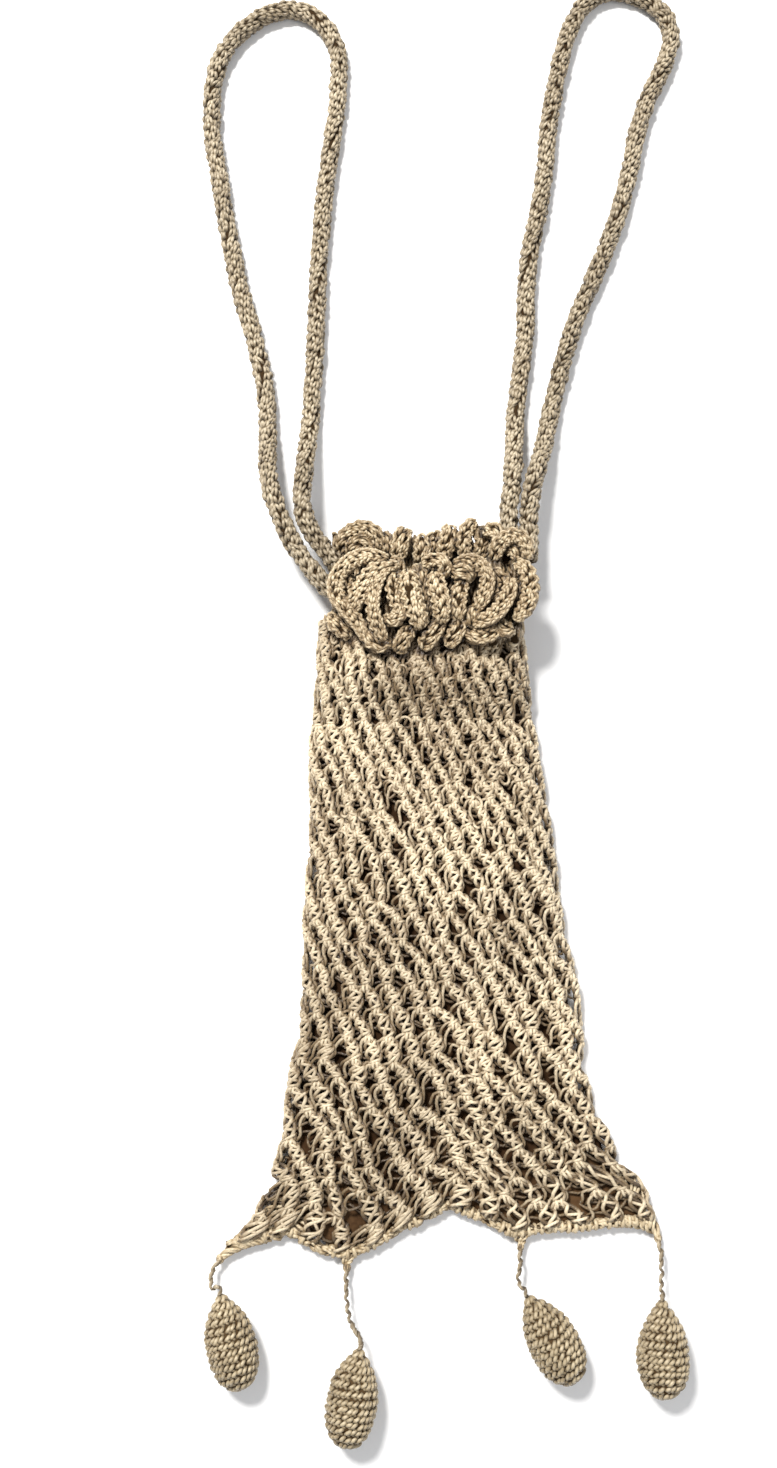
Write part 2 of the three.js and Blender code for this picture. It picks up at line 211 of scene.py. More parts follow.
# ------------------------------------------------------------------ materials
def cotton(name, dark, mid, light, ply=1.0, freq=1.15, rough=0.52, grime=0.25, spec=0.6, sheen=0.2):
    m = bpy.data.materials.new(name); m.use_nodes = True
    nt = m.node_tree; N, L = nt.nodes, nt.links
    bsdf = N["Principled BSDF"]
    bsdf.inputs["Roughness"].default_value = rough
    bsdf.inputs["Specular IOR Level"].default_value = spec
    bsdf.inputs["Sheen Weight"].default_value = sheen
    bsdf.inputs["Sheen Roughness"].default_value = 0.45
    bsdf.inputs["Sheen Tint"].default_value = (0.95, 0.88, 0.72, 1)
    tc = N.new("ShaderNodeTexCoord")
    dep = N.new("ShaderNodeAttribute"); dep.attribute_name = "depth"
    tone = N.new("ShaderNodeAttribute"); tone.attribute_name = "tone"
    big = N.new("ShaderNodeTexNoise"); big.inputs["Scale"].default_value = 38; big.inputs["Detail"].default_value = 3
    L.new(tc.outputs["Object"], big.inputs["Vector"])
    fine = N.new("ShaderNodeTexNoise"); fine.inputs["Scale"].default_value = 900; fine.inputs["Detail"].default_value = 4
    L.new(tc.outputs["Object"], fine.inputs["Vector"])
    # value = depth (painted shade where sunk, painted highlight where proud) + small parts of strand tone, soft patches
    # and fine fibre
    def math_(op, a, b, clamp=False):
        n = N.new("ShaderNodeMath"); n.operation = op; n.use_clamp = clamp
        for k, x in ((0, a), (1, b)):
            if isinstance(x, (int, float)): n.inputs[k].default_value = x
            else: L.new(x, n.inputs[k])
        return n.outputs[0]
    v = math_("MULTIPLY", dep.outputs["Fac"], 0.72)
    v = math_("ADD", v, math_("MULTIPLY", tone.outputs["Fac"], 0.16))
    v = math_("ADD", v, math_("MULTIPLY", math_("SUBTRACT", big.outputs["Fac"], 0.5), 0.55))
    v = math_("ADD", v, math_("MULTIPLY", math_("SUBTRACT", fine.outputs["Fac"], 0.5), 0.35), True)
    ramp = N.new("ShaderNodeValToRGB")
    ramp.color_ramp.elements[0].position, ramp.color_ramp.elements[0].color = 0.0, (*dark, 1)
    ramp.color_ramp.elements[1].position, ramp.color_ramp.elements[1].color = 1.0, (*light, 1)
    e = ramp.color_ramp.elements.new(0.52); e.color = (*mid, 1)
    L.new(v, ramp.inputs["Fac"])
    # yellowed and greyed patches of old cotton
    patch = N.new("ShaderNodeTexNoise"); patch.inputs["Scale"].default_value = 17; patch.inputs["Detail"].default_value = 5; patch.inputs["Roughness"].default_value = 0.65
    L.new(tc.outputs["Object"], patch.inputs["Vector"])
    pr = N.new("ShaderNodeMapRange"); pr.inputs["From Min"].default_value = 0.45; pr.inputs["From Max"].default_value = 0.75; pr.inputs["To Max"].default_value = grime
    L.new(patch.outputs["Fac"], pr.inputs["Value"])
    mix = N.new("ShaderNodeMix"); mix.data_type = "RGBA"; mix.blend_type = "MULTIPLY"
    L.new(pr.outputs["Result"], mix.inputs["Factor"]); L.new(ramp.outputs["Color"], mix.inputs["A"]); mix.inputs["B"].default_value = (0.80, 0.70, 0.55, 1)
    L.new(mix.outputs["Result"], bsdf.inputs["Base Color"])
    # plies twisted round the thread
    uvn = N.new("ShaderNodeUVMap"); uvn.uv_map = "Thread"
    sep = N.new("ShaderNodeSeparateXYZ"); L.new(uvn.outputs["UV"], sep.inputs["Vector"])
    ang = math_("MULTIPLY", math_("ADD", math_("MULTIPLY", sep.outputs["X"], freq), math_("MULTIPLY", sep.outputs["Y"], 3.0)), 2 * math.pi)
    wave = math_("SINE", ang, 0.0)
    hgt = math_("ADD", math_("MULTIPLY", wave, 0.5), math_("MULTIPLY", fine.outputs["Fac"], 0.9))
    bump = N.new("ShaderNodeBump"); bump.inputs["Strength"].default_value = 0.40 * ply; bump.inputs["Distance"].default_value = 0.00012
    L.new(hgt, bump.inputs["Height"]); L.new(bump.outputs["Normal"], bsdf.inputs["Normal"])
    return m

def srgb(r, g, b):
    f = lambda c: (c / 255 / 12.92) if c / 255 <= 0.04045 else ((c / 255 + 0.055) / 1.055) ** 2.4
    return (f(r), f(g), f(b))

# the dark end of each ramp is painted shade for sunk and shaded thread, the light end painted highlight for proud
# thread
M_NET = cotton("net_cotton", srgb(48, 32, 18), srgb(117, 97, 69), srgb(226, 210, 180))
M_RUF = cotton("ruffle_cotton", srgb(40, 26, 14), srgb(138, 116, 84), srgb(228, 212, 180), grime=0.35)
M_CORD = cotton("drawstring_cotton", srgb(54, 42, 28), srgb(122, 107, 83), srgb(198, 184, 158))
M_DROP = cotton("drop_cotton", srgb(60, 46, 28), srgb(136, 119, 90), srgb(202, 187, 157))
# the inner sheet's dark brown is painted shade seen through the net holes
M_SHADE_SHEET = cotton("shade_sheet_cotton", srgb(26, 16, 8), srgb(58, 40, 25), srgb(108, 82, 56), ply=0.2, rough=0.95, spec=0.05, sheen=0.0)
# dark cores and backing bodies under the stitches: their dark brown is painted shade seen in the gaps between stitches
M_CORE = cotton("core_cotton", srgb(34, 24, 14), srgb(60, 45, 28), srgb(84, 66, 44), ply=0.2, rough=0.95, spec=0.05, sheen=0.0)
M_EDGE = cotton("edging_cotton", srgb(60, 42, 24), srgb(148, 127, 94), srgb(220, 204, 172))

# ------------------------------------------------------------------ drawstring loops
LOOP_LEFT = [[-21.0, 87.5], [-24.6, 91.5], [-28.5, 96.7], [-31.8, 101.3], [-33.7, 106.9], [-34.0, 112.8], [-33.5, 121.8], [-32.4, 133.7], [-31.5, 145.8], [-30.8, 158.0], [-30.3, 170.4], [-29.8, 182.9], [-28.9, 195.5], [-27.8, 208.2], [-25.9, 223.0], [-24.4, 234.2], [-23.7, 244.0], [-23.7, 250.6], [-25.3, 257.3], [-28.8, 262.9], [-33.4, 266.4], [-38.6, 267.4], [-43.7, 266.3], [-48.5, 263.9], [-52.7, 260.4], [-55.9, 256.6], [-59.0, 251.0], [-60.8, 244.4], [-61.4, 237.8], [-61.4, 231.3], [-61.0, 224.7], [-59.4, 215.0], [-57.4, 202.2], [-55.1, 189.5], [-52.6, 176.9], [-49.1, 164.4], [-46.4, 153.0], [-44.8, 142.9], [-44.3, 132.0], [-44.0, 122.5], [-42.8, 113.5], [-40.8, 107.0], [-38.3, 101.0], [-34.9, 94.8], [-30.6, 88.8], [-28.3, 85.9], [-25.4, 83.5]]
LOOP_RIGHT = [[22.7, 91.5], [22.8, 97.5], [23.0, 104.0], [23.9, 112.2], [25.0, 121.0], [25.7, 130.1], [26.6, 139.2], [28.3, 151.2], [29.9, 163.5], [30.5, 176.0], [32.0, 188.5], [34.8, 201.0], [36.9, 213.8], [38.3, 226.8], [40.3, 238.0], [42.4, 248.0], [44.6, 256.5], [47.2, 263.1], [50.6, 268.3], [55.0, 271.5], [60.2, 272.4], [65.2, 271.3], [69.8, 268.9], [73.4, 265.4], [75.5, 261.3], [76.0, 256.1], [74.3, 249.5], [71.3, 242.9], [68.0, 236.0], [64.9, 226.5], [62.0, 213.5], [58.6, 201.0], [53.9, 188.2], [48.5, 175.6], [43.5, 163.4], [39.8, 151.2], [36.6, 139.0], [34.1, 128.0], [31.6, 119.0], [29.6, 112.0], [28.6, 104.0], [28.4, 97.5], [28.2, 91.5]]
def smooth(a, b, x):
    t = np.clip((np.asarray(x, float) - a) / (b - a), 0, 1); return t * t * (3 - 2 * t)

def crochet_cord(T, path, radius, around=8, pitch=2.2, seed=3, sides=6, strand=0.46, shape=None, dark=0.0, shade=0.5, messy=1.0, skew=0.35):
    """Spiral of V stitches over a tube; returns the resampled path and its length."""
    rng = np.random.default_rng(seed)
    P, length = resample(path, step=0.5)
    _, U, B = frames(P[None]); U, B = U[0], B[0]
    Lp = np.linspace(0, length, len(P))
    rounds = max(1, int(length / pitch)); n = rounds * around
    k = np.arange(n)
    s0 = (k / around) * pitch + (k % 2) * 0.45 * pitch         # the spiral climbs one pitch each turn, stitches staggered
    th0 = 2 * np.pi * (k % around) / around + 0.30 * (k // around)
    s0 = s0 + rng.normal(0, 0.26 * messy, n); th0 = th0 + rng.normal(0, 0.10 * messy, n)
    turn = rng.normal(0, 0.34 * messy, n); big = 1 + 0.13 * messy * rng.normal(size=n); lift = rng.normal(0, 0.12 * messy, n)
    w = 2 * np.pi / around
    def pts(ds, dth, h):
        ds = ds * big[:, None]; dth = dth + turn[:, None] * (ds - 0.5 * pitch) / max(radius, 1.0)
        s = np.clip(s0[:, None] + ds, 0, length); th = th0[:, None] + dth
        c = np.stack([np.interp(s, Lp, P[:, a]) for a in range(3)], -1)
        u = unit(np.stack([np.interp(s, Lp, U[:, a]) for a in range(3)], -1)); b = unit(np.stack([np.interp(s, Lp, B[:, a]) for a in range(3)], -1))
        r = (radius if shape is None else radius * shape(s / length)) + h + lift[:, None]
        d = np.cos(th)[..., None] * u + np.sin(th)[..., None] * b
        return c + r[..., None] * d, d[..., 2]
    tone = rng.random(n)
    t = np.linspace(0, 1, 6)
    rise = np.sin(np.pi * np.clip(t * 1.05, 0, 1) ** 0.85)
    for sg, hh, th_ in ((-1.0, 0.0, 1.0), (1.0, -0.12, 0.92)):
        # painted shade: depth drops by dark all over and by shade on the sides and underside that face away from the
        # light
        a, nz = pts((-0.20 + 1.22 * pitch * t)[None], w * (sg * (0.03 + 0.46 * t ** 0.8) + skew * t)[None], (hh - 0.85 + 0.72 * rise)[None] - strand * 0.25)
        T.add(a, strand * th_, sides, depth=np.clip((0.02 + 0.98 * rise ** 1.3)[None] - dark - shade * (0.5 - 0.5 * nz), 0, 1), tone=tone if sg < 0 else rng.random(n), taper=0.75)
    return P, length

CORD_D = 5.2
def climb(pts):
    p = np.array(pts, float); z = 10.7 + (CORD_D / 2 + 0.05 - 10.7) * smooth(110, 138, p[:, 1])
    return np.column_stack([p, z])
for side, pts, body in (("left", LOOP_LEFT, "left_drawstring"), ("right", LOOP_RIGHT, "right_drawstring")):
    path = climb(pts)
    T = Threads()
    P, length = crochet_cord(T, path, CORD_D / 2, seed=11 if side == "left" else 12)
    st = T.mesh(f"{side}_loop_stitches", M_CORD)
    Pc, _ = resample(path, step=2.4)
    core = tube_mesh(f"{side}_loop_core", Pc, 1.85, 14, M_CORE, depth=0.35)
    for o in (core, st):
        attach(o, body)
    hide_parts(f"{side}_drawstring_loop")

# ------------------------------------------------------------------ the net
LEFT = np.array([[-54.0, -89.0], [-46.5, -82.5], [-43.9, -77.5], [-41.6, -72.5], [-40.2, -67.5], [-38.5, -62.0], [-37.6, -52.0], [-36.0, -42.0], [-33.9, -36.5], [-33.3, -26.0], [-33.0, -16.0], [-33.0, -5.0], [-32.2, 5.6], [-31.2, 16.0], [-31.1, 27.0], [-31.4, 38.0], [-31.1, 44.0], [-30.0, 50.0], [-29.2, 61.0], [-28.5, 72.0], [-28.3, 75.5]])
RIGHT = np.array([[57.0, -84.5], [55.2, -78.5], [52.0, -73.4], [46.8, -68.0], [45.2, -63.0], [43.0, -58.0], [41.0, -53.0], [39.4, -48.0], [38.7, -43.0], [38.4, -32.0], [37.6, -22.0], [36.4, -16.5], [34.7, -11.0], [34.0, -3.0], [33.2, 5.0], [32.2, 15.8], [30.6, 26.7], [29.3, 38.0], [27.6, 49.0], [26.4, 58.0], [25.8, 66.0], [24.6, 75.5]])
HEM = np.array([[-54.0, -90.0], [-46.5, -88.3], [-40.2, -87.0], [-37.1, -87.0], [-34.0, -88.9], [-30.9, -90.7], [-27.8, -91.8], [-24.7, -92.3], [-21.6, -92.2], [-18.5, -91.0], [-15.4, -89.8], [-12.2, -88.1], [-9.1, -86.3], [-6.0, -85.1], [-2.9, -83.7], [0.3, -82.0], [3.4, -80.9], [6.5, -81.6], [9.6, -82.8], [12.7, -84.1], [15.8, -85.6], [18.9, -87.0], [22.0, -87.6], [25.1, -87.0], [31.4, -86.5], [37.6, -86.4], [43.9, -85.6], [50.1, -85.2], [56.6, -85.6]])
NECK_Y, INSET, NET_T, GAP = 75.5, 0.9, 2.2, 0.3
def plan(u, v):
    yl = -89.0 + INSET + (NECK_Y + 89.0 - INSET) * v; yr = -84.5 + INSET + (NECK_Y + 84.5 - INSET) * v
    bend = np.clip(1 - v / 0.42, 0, 1) ** 1.5
    hem = lambda t: np.interp(HEM[0, 0] + (HEM[-1, 0] - HEM[0, 0]) * t, HEM[:, 0], HEM[:, 1])
    sag = hem(u) - (hem(0.0) * (1 - u) + hem(1.0) * u)
    xl, xr = np.interp(yl, LEFT[:, 1], LEFT[:, 0]), np.interp(yr, RIGHT[:, 1], RIGHT[:, 0])
    return xl * (1 - u) + xr * u, yl * (1 - u) + yr * u + bend * sag
def back_top(y): return NET_T + 5.4 * smooth(47, 61, y)
def puff(v): 
    a = 0.2 + 6.8 * smooth(0, 0.3, v); return a * (1 - smooth(0.7, 0.9, v)) + 6.3 * smooth(0.7, 0.9, v)
def net_surface(inset=0.0, top=0.0, bottom=0.0):
    nv, nf, ns = 190, 70, 260
    rows = []
    uf = 0.5 - 0.5 * np.cos(np.linspace(0, np.pi, nf))
    for v in np.linspace(0, 1, nv):
        x, y = plan(uf, v)
        dome = np.sqrt(np.clip(1 - np.abs(2 * uf - 1) ** 2.6, 0, 1))
        # soft hollows and swells of a bag that lies slack
        slack = 0.35 * np.sin(x * 0.11 + v * 9) + 0.3 * np.sin(v * 31 + x * 0.05)
        zf = back_top(y) + GAP + puff(v) * dome + 1.0 + slack * dome * 0.8 + top
        zb = back_top(y) - NET_T + 1.25 + 0 * x + bottom
        wide = x[-1] - x[0]; x = x[0] + inset + (x - x[0]) * (wide - 2 * inset) / wide
        F = np.column_stack([x, y, zf]); Bk = np.column_stack([x, y, zb])[::-1]
        C = np.concatenate([F, Bk, F[:1]])
        L = np.concatenate([[0], np.cumsum(np.linalg.norm(np.diff(C, axis=0), axis=1))])
        s = np.linspace(0, L[-1], ns)
        rows.append(np.stack([np.interp(s, L, C[:, k]) for k in range(3)], -1))
    return Surf(np.array(rows), True)
NET = net_surface()
COLS, ROWS = 28, 27
LEAN = 0.5
ji = RNG.normal(0, 1, (COLS, ROWS + 2, 3))
def node(i, j):
    """Column and row place of a knot, with its own small stray; rows count up from the hem."""
    jj = np.clip(j, 0, ROWS + 1)
    J = ji[np.mod(i, COLS), jj]
    fall = np.where(jj == 0, 0.3, 1.0)
    return i + LEAN * (ROWS - j) + 0.135 * J[..., 0] * fall, j + 0.115 * J[..., 1] * fall
def rc(a, b, h):
    """(column, row, height) to mm."""
    return NET.where(a / COLS, (np.clip(b, 0, ROWS) / ROWS) ** 0.95, h)
def cell(T, i, j, rng, rich=True, lacy=False):
    """One row's knots (arrays i, j) with the legs that fall from them."""
    M = len(i)
    A = np.stack(node(i, j), -1); B = np.stack(node(i, j - 1), -1); Cc = np.stack(node(i - 1, j - 1), -1)
    tone = rng.random(M)
    fat = 1.0 + 0.10 * rng.normal(size=M)
    # painted shade and highlight: each strand's depth follows its height, dark where low, light where high
    # thick leg of strands wound round each other
    n = 11; t = np.linspace(0, 1, n); K_ = 3 if lacy or not rich else 4; sd = 6 if rich else 5
    ph = rng.random(M) * 2 * np.pi; wide = (0.262 if rich else 0.165) * (1 + 0.12 * rng.normal(size=M))[:, None]
    for k in range(K_):
        phi = ph[:, None] + 2 * np.pi * k / K_ + 2 * np.pi * 0.62 * t[None]
        w = (0.50 + 0.62 * np.sin(np.pi * np.clip(t * 0.9 + 0.05, 0, 1)))[None] * fat[:, None]
        s = A[:, None, 0] + 0.15 + (B[:, None, 0] - A[:, None, 0] - 0.12) * (t[None] ** 1.15) + wide * w * np.cos(phi)
        b = A[:, None, 1] - 0.02 + (B[:, None, 1] - A[:, None, 1] + 0.04) * t[None]
        h = 0.35 + 0.45 * w * np.sin(phi) + 0.35 * np.sin(np.pi * t)[None]
        T.add(rc(s, b, h), 0.50, sd, depth=np.clip(0.28 + 0.62 * np.sin(phi) + 0.22 * np.sin(np.pi * t), 0, 1), tone=tone * 0.6 + 0.4 * rng.random(M))
    # short turns that bind the leg
    for tq, sl in ((0.45, -0.08), (0.82, 0.10)) if lacy else ((0.22, -0.06), (0.42, 0.12), (0.62, -0.10), (0.84, 0.12)) if rich else ((0.36, 0.10), (0.62, -0.08), (0.84, 0.10)):
        q = np.linspace(-1, 1, 7); tm = tq + 0.05 * rng.normal(size=M)
        cs = A[:, 0] + 0.15 + (B[:, 0] - A[:, 0] - 0.12) * tm ** 1.15; cb = A[:, 1] + (B[:, 1] - A[:, 1]) * tm
        sw = sl + 0.07 * rng.normal(size=M)
        h = 0.25 + 0.98 * np.sqrt(np.clip(1 - q ** 2, 0, 1))
        half = (0.31 if rich else 0.21) * (0.75 + 0.25 * math.sin(math.pi * tq)) * fat
        T.add(rc(cs[:, None] + half[:, None] * q[None], cb[:, None] + sw[:, None] * q[None], np.broadcast_to(h, (M, 7))), 0.40, sd, depth=np.clip(0.1 + 0.9 * np.sqrt(np.clip(1 - q ** 2, 0, 1)), 0, 1)[None], tone=0.3 + 0.7 * rng.random(M))
    # painted shade: the far-side threads get low depth so they read dark deep in the hole
    if rich:  # threads of the far side of the stitch, seen deep in the hole
        for q0 in (-0.16, -0.46, -0.78):
            t6 = np.linspace(0, 1, 6); y0 = q0 + 0.10 * rng.normal(size=M); dy = 0.22 * rng.normal(size=M)
            sx = A[:, None, 0] - 0.55 + 0.95 * t6[None]; bx = A[:, None, 1] + y0[:, None] + dy[:, None] * (t6 - 0.5)[None] + 0.06 * np.sin(7 * t6)[None]
            T.add(rc(sx, bx, np.broadcast_to(-0.85 + 0.25 * np.sin(np.pi * t6), (M, 6)) + 0.1 * rng.normal(size=(M, 1))), 0.36, 5, depth=((0.22 if lacy else 0.06) + 0.34 * rng.random((M, 1))) + 0 * sx, tone=0.4 * rng.random(M))
    if rich:  # arch that leans over the top of the hole to the left, and a slack thread across it
        ctl = np.array([(0.04, 0.06, 0.55), (-0.22, 0.13, 0.85), (-0.46, 0.05, 0.70), (-0.62, -0.14, 0.35), (-0.66, -0.34, -0.05)])
        P = np.repeat(ctl[None], M, 0) + rng.normal(0, 0.05, (M, len(ctl), 3)) * [1, 1, 2]
        P = catmull(P, 9)
        T.add(rc(A[:, None, 0] + P[..., 0], A[:, None, 1] + P[..., 1], P[..., 2]), 0.39, 5, depth=np.clip(0.30 + 0.55 * P[..., 2], 0, 1), tone=0.3 + 0.7 * rng.random(M))
        some = np.where(rng.random(M) < (0.85 if lacy else 0.55))[0]
        if len(some):
            ctl = np.array([(-0.70, -0.42, 0.0), (-0.50, -0.62, 0.35), (-0.28, -0.50, 0.50), (-0.05, -0.34, 0.25)])
            P = np.repeat(ctl[None], len(some), 0) + rng.normal(0, 0.07, (len(some), len(ctl), 3)) * [1, 1.4, 1.5]
            P = catmull(P, 7)
            T.add(rc(A[some, None, 0] + P[..., 0], A[some, None, 1] + P[..., 1], P[..., 2]), 0.37, 5, depth=np.clip(0.15 + 0.6 * P[..., 2], 0, 1), tone=rng.random(len(some)))
    # thin S-shaped leg
    ctl = np.array([(-0.10, 0.03, 0.75), (-0.25, -0.07, 0.75), (-0.33, -0.28, 0.55), (-0.30, -0.52, 0.35), (-0.22, -0.74, 0.15), (-0.30, -0.90, -0.05), (-0.44, -1.0, -0.15)])
    P = np.repeat(ctl[None], M, 0) + rng.normal(0, 0.02, (M, len(ctl), 3)) * [1, 1, 2]
    P = P * np.array([1, 1, 1.0]) ; P[:, :, 0] *= (1 + 0.15 * rng.normal(size=M))[:, None]
    endd = (Cc - A) - np.array([-0.5, -1.0]); fr = np.linspace(0, 1, len(ctl))[None, :, None]
    P[:, :, :2] += endd[:, None] * fr
    P = catmull(P, 12)
    T.add(rc(A[:, None, 0] + P[..., 0], A[:, None, 1] + P[..., 1], P[..., 2]), 0.43, sd, depth=np.clip(0.55 + 0.45 * P[..., 2], 0, 1), tone=0.4 + 0.6 * rng.random(M))
    # crest of the knot, then the two short loops over it
    for dy, dh, r in ((0.02, 0.55, 0.45), (-0.10, 0.15, 0.43)):
        ctl = np.array([(-0.30, -0.20, 0.35), (-0.20, -0.02, 0.6), (-0.02, 0.05, 0.75), (0.16, 0.00, 0.7), (0.27, -0.16, 0.5)])
        P = np.repeat(ctl[None], M, 0) + rng.normal(0, 0.015, (M, len(ctl), 3)) * [1, 1, 3]
        P[..., 1] += dy; P[..., 2] += dh - 0.35
        P = catmull(P, 8)
        T.add(rc(A[:, None, 0] + P[..., 0], A[:, None, 1] + P[..., 1], P[..., 2]), r, sd, depth=np.clip(0.35 + 0.55 * P[..., 2], 0, 1), tone=tone)
    for dx in (-0.10, 0.07):
        ctl = np.array([(0.02, 0.20, 0.0), (0.0, 0.12, 0.8), (-0.01, 0.0, 1.3), (0.0, -0.11, 1.05), (0.03, -0.22, 0.3)])
        P = np.repeat(ctl[None], M, 0) + rng.normal(0, 0.015, (M, len(ctl), 3)) * [1, 1, 3]
        P[..., 0] += dx
        P = catmull(P, 8)
        T.add(rc(A[:, None, 0] + P[..., 0], A[:, None, 1] + P[..., 1], np.minimum(P[..., 2], 1.25)), 0.40, sd, depth=np.clip(0.2 + 0.75 * P[..., 2], 0, 1), tone=0.5 + 0.5 * rng.random(M))

# dark inner sheet inside the net: painted shade that shows dark through the net holes
def shade_sheet(name, v0, v1, nv):
    S = LIN; s = np.linspace(0, 1, 141)[:-1]; vv = np.linspace(v0, v1, nv)
    G = np.array([S.where(s, np.full_like(s, v), 0.0) for v in vv]); Nn = np.array([S.where(s, np.full_like(s, v), -0.28) for v in vv])
    ns = len(s); V = np.concatenate([G.reshape(-1, 3), Nn.reshape(-1, 3)]); n = ns * nv; F = []
    for j in range(nv - 1):
        for i in range(ns):
            a, b = j * ns + i, j * ns + (i + 1) % ns
            F.append((a, b, b + ns, a + ns)); F.append((n + a, n + a + ns, n + b + ns, n + b))
    for i in range(ns):
        a, b = i, (i + 1) % ns; F.append((a, n + a, n + b, b)); a, b = (nv - 1) * ns + i, (nv - 1) * ns + (i + 1) % ns; F.append((a, b, n + b, n + a))
    area = sum(np.linalg.norm(np.diff(np.concatenate([G[j], G[j][:1]]), axis=0), axis=1).sum() for j in range(nv)) / nv * (np.linalg.norm(G[-1].mean(0) - G[0].mean(0)))
    # painted shade: the sheet is lighter near the hem and darker towards the neck
    dv = 0.30 + 0.55 * (1 - smooth(0.02, 0.30, vv))
    o = plain_mesh(name, V, F, M_SHADE_SHEET, depth=np.tile(np.repeat(dv, ns), 2))
    return o, area / 1e6, G
LIN = net_surface(inset=1.7, top=-1.7, bottom=0.75)
VSPLIT = (22.35 / 27) ** 0.95
sheet_a, area_a, Ga = shade_sheet("shade_sheet_body", 0.004, VSPLIT, 70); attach(sheet_a, "pouch")
sheet_b, area_b, Gb = shade_sheet("shade_sheet_neck", VSPLIT, 0.985, 22)
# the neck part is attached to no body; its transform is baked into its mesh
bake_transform(sheet_b)

NECK_ROW = 22        # rows from here up belong to the neck net
def face_of(i, j):
    """True where a knot is on the front."""
    a = np.mod((i + LEAN * (ROWS - j)) / COLS, 1.0)
    return a < 0.5
rng = np.random.default_rng(21)
bins = {}
for j in range(1, ROWS + 1):
    i = np.arange(COLS); f = face_of(i, np.full(COLS, j))
    for front in (True, False):
        ii = i[f == front]
        if j > NECK_ROW: key = "neck_net"
        else: key = ("front_net" if front else "back_net") + ("_low" if j <= 8 else "_mid" if j <= 15 else "_top")
        T = bins.setdefault(key, Threads())
        # the stitches loosen into open lace at the lower right
        open_ = front & (j <= 3) & (np.mod(ii + LEAN * (ROWS - j), COLS) / COLS > 0.27 + 0.03 * j)
        for part, lace in ((ii[~open_], False), (ii[open_], True)):
            if len(part): cell(T, part, np.full(len(part), j), rng, rich=front, lacy=lace)
# loose loops that crowd the net towards the neck
def tangle(T, count, b0, b1, rng):
    t = np.linspace(0, 1, 10); a = rng.uniform(0.6, COLS / 2 - 0.6, count); b = rng.uniform(b0, b1, count)
    start = rng.uniform(0, 2 * np.pi, count); sweep = rng.uniform(3.0, 5.6, count) * rng.choice([-1, 1], count)
    rr = rng.uniform(0.16, 0.34, count); el = rng.uniform(0.7, 1.3, count)
    th = start[:, None] + sweep[:, None] * t[None]
    h = 0.5 + rng.uniform(0.2, 0.9, count)[:, None] * np.sin(np.pi * t)[None]
    T.add(rc(a[:, None] + (rr * el)[:, None] * np.cos(th), b[:, None] + rr[:, None] * np.sin(th), h), 0.40, 6, depth=np.clip(0.15 + 0.8 * np.sin(np.pi * t), 0, 1)[None], tone=rng.random(count))
tangle(bins["neck_net"], 110, 22.9, 26.8, rng)
tangle(bins["front_net_top"], 110, 16.5, 22.2, rng)
NETS = {}
for key, T in bins.items():
    o = T.mesh(key, M_NET); NETS[key] = o
    if key != "neck_net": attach(o, "pouch")
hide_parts("front_net_panel"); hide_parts("back_net_panel"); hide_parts("front_neck_net")
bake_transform(NETS["neck_net"])

# ------------------------------------------------------------------ edging along the bottom
T = Threads()
hem = np.column_stack([HEM[:, 0], HEM[:, 1] + 1.7, np.full(len(HEM), 2.35)])
P, Lh = crochet_cord(T, hem, 1.35, around=5, pitch=2.2, seed=31, strand=0.46, messy=1.3)
Hs, _ = resample(hem, step=0.25); tanh = unit(np.gradient(Hs, axis=0)); seg_ = np.arange(len(Hs)) * 0.25; rngh = np.random.default_rng(77)
for x_at in np.arange(3.0, seg_[-1] - 1.0, 1.75):     # beads of thread wound round the edging
    q = int(x_at / 0.25); c_ = Hs[q]
    if c_[0] < 16.0 and rngh.random() < 0.45: continue
    t_ = np.linspace(0, 2 * np.pi, 13); nrm_ = np.array([-tanh[q, 1], tanh[q, 0], 0.0]); r_ = 1.28 + 0.10 * rngh.normal()
    # painted light: the beads are lighter on top and darker underneath
    T.add((c_ + np.outer(np.sin(t_) * r_, [0, 0, 1.0]) + np.outer(np.cos(t_) * r_, nrm_) + tanh[q] * 0.25 * np.sin(t_)[:, None])[None], 0.52, 6, depth=np.clip(0.55 + 0.4 * np.sin(t_), 0, 1)[None], tone=rngh.random(1))
st = T.mesh("hem_stitches", M_EDGE)
Ph, _ = resample(hem, step=2.0)
core = tube_mesh("hem_core", Ph, 0.8, 10, M_CORE, depth=0.35)
for o in (st, core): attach(o, "pouch")
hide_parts("hem_edging")

# strands that draw the corners out and tie the edging to the chains
def spin(T, ctl, rad, strand, pitch, count, seed, z=2.3):
    """count strands wound round a line whose wander narrows along it; ctl rows x, y, wander."""
    rng = np.random.default_rng(seed); c = catmull(np.array(ctl, float), 26); t = np.linspace(0, 1, 26)
    tan = unit(np.gradient(c[:, :2], axis=0)); nrm = np.column_stack([-tan[:, 1], tan[:, 0]])
    L = np.concatenate([[0], np.cumsum(np.linalg.norm(np.diff(c[:, :2], axis=0), axis=1))])
    for k in range(count):
        ph = 2 * np.pi * (L / (pitch * rng.uniform(0.8, 1.25)) + k / count) + rng.normal(0, 0.3)
        off = c[:, 2] * np.cos(ph); zz = z + np.minimum(c[:, 2], rad) * np.sin(ph)
        # painted light: each strand is lighter where it passes over the top and darker underneath
        T.add(np.column_stack([c[:, 0] + nrm[:, 0] * off, c[:, 1] + nrm[:, 1] * off, np.maximum(zz, strand + 0.1)]), strand, 6, depth=np.clip(0.5 + 0.5 * np.sin(ph), 0, 1)[None], tone=rng.random(1))
T = Threads()
spin(T, [(-38.5, -76.5, 2.4), (-43.0, -82.5, 2.6), (-48.0, -86.2, 2.2), (-52.5, -89.2, 1.2), (-55.6, -92.0, 0.35)], 1.0, 0.46, 9.0, 7, 51)
